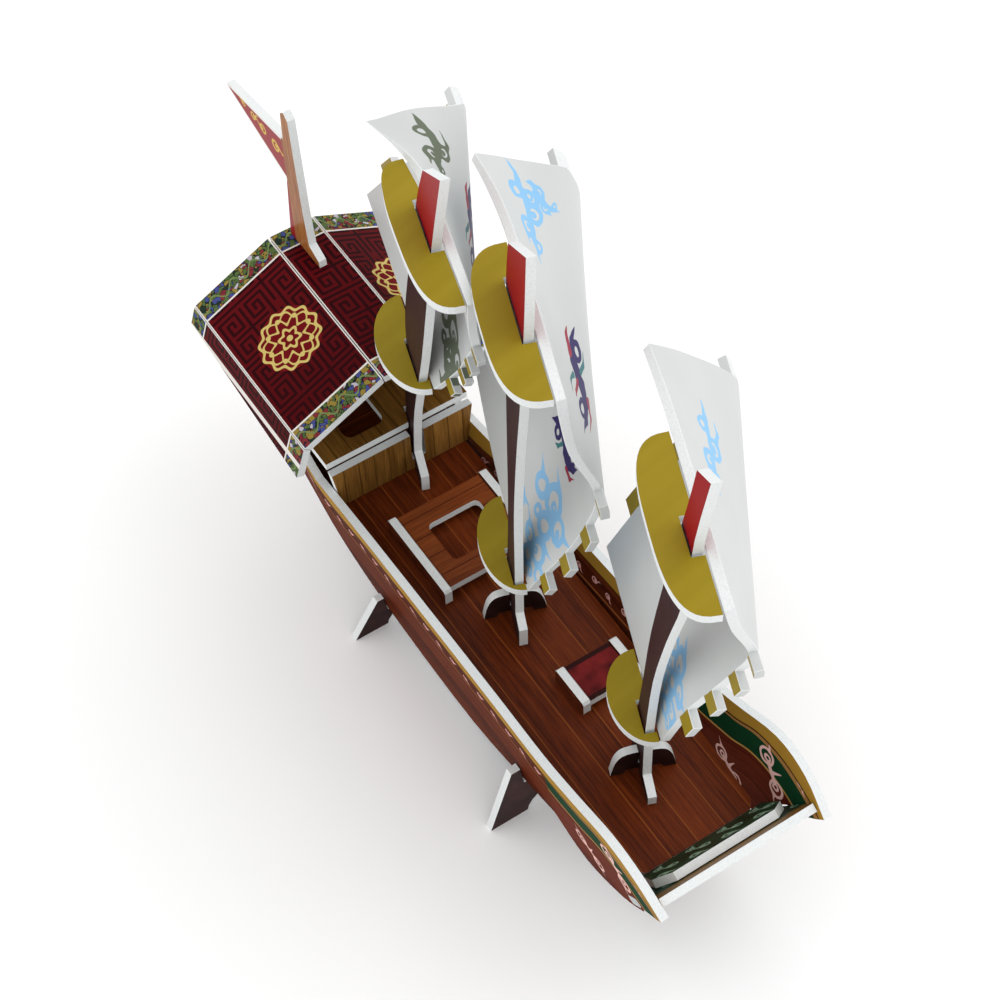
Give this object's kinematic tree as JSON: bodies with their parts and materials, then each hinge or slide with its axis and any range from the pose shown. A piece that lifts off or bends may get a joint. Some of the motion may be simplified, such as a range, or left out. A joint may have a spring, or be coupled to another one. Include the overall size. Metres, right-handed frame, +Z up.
{
  "type": "model junk sailboat",
  "caption": "Slot-together foam-board model of a three-masted junk with curved sails, roofed stern cabin, decks and a two-board display stand.",
  "frame": {"origin": "middle of the bounding box at the level that the stand boards rest on", "axes": "+X to the bow, +Y to port, +Z up"},
  "size_m": [0.2274, 0.0742, 0.1968],
  "materials": {
    "deck_planks": "printed foam board, red-brown planks",
    "poop_planks": "printed foam board, ochre planks",
    "hull_print": "printed foam board, brown timbers with a gold sheer band",
    "bow_print": "printed foam board, dark green panel with pale scrolls",
    "roof_print": "printed foam board, crimson fret with floral bands",
    "mast_print": "printed foam board, dark purple brown",
    "yard_gold": "printed foam board, mustard gold",
    "sail_print": "printed foam board, white with clouds and plumes",
    "flag_red": "printed foam board, red with a white border",
    "stand_dark": "printed foam board, near black",
    "hatch_print": "printed foam board, brown frame and dark red lid",
    "bracket_dark": "printed foam board, black brown"
  },
  "bodies": {
    "root": {"main_deck": "deck_planks", "poop_deck": "poop_planks", "poop_bulkhead": "poop_planks", "transom": "poop_planks", "stern_counter": "poop_planks", "hull_side_port": "hull_print", "hull_side_starboard": "hull_print", "bow_board": "bow_print", "bow_inset": "bow_print", "roof_panel_1": "roof_print", "roof_panel_2": "roof_print", "roof_panel_3": "roof_print", "roof_panel_4": "roof_print", "roof_panel_5": "roof_print", "mast_fore": "mast_print", "mast_mid": "mast_print", "mast_aft": "mast_print", "yard_upper_fore": "yard_gold", "yard_upper_mid": "yard_gold", "yard_upper_aft": "yard_gold", "yard_lower_fore": "yard_gold", "yard_lower_mid": "yard_gold", "yard_lower_aft": "yard_gold", "sail_fore": "sail_print", "sail_mid": "sail_print", "sail_aft": "sail_print", "flagpole_pennant": "flag_red", "stand_aft": "stand_dark", "stand_fore": "stand_dark", "hatch_main_panel": "hatch_print", "hatch_main_rail_starboard": "hatch_print", "hatch_main_rail_port": "hatch_print", "hatch_fore_panel": "hatch_print", "hatch_fore_rail_starboard": "hatch_print", "hatch_fore_rail_port": "hatch_print", "bracket_fore": "bracket_dark", "bracket_mid": "bracket_dark"}
  },
  "joints": []
}
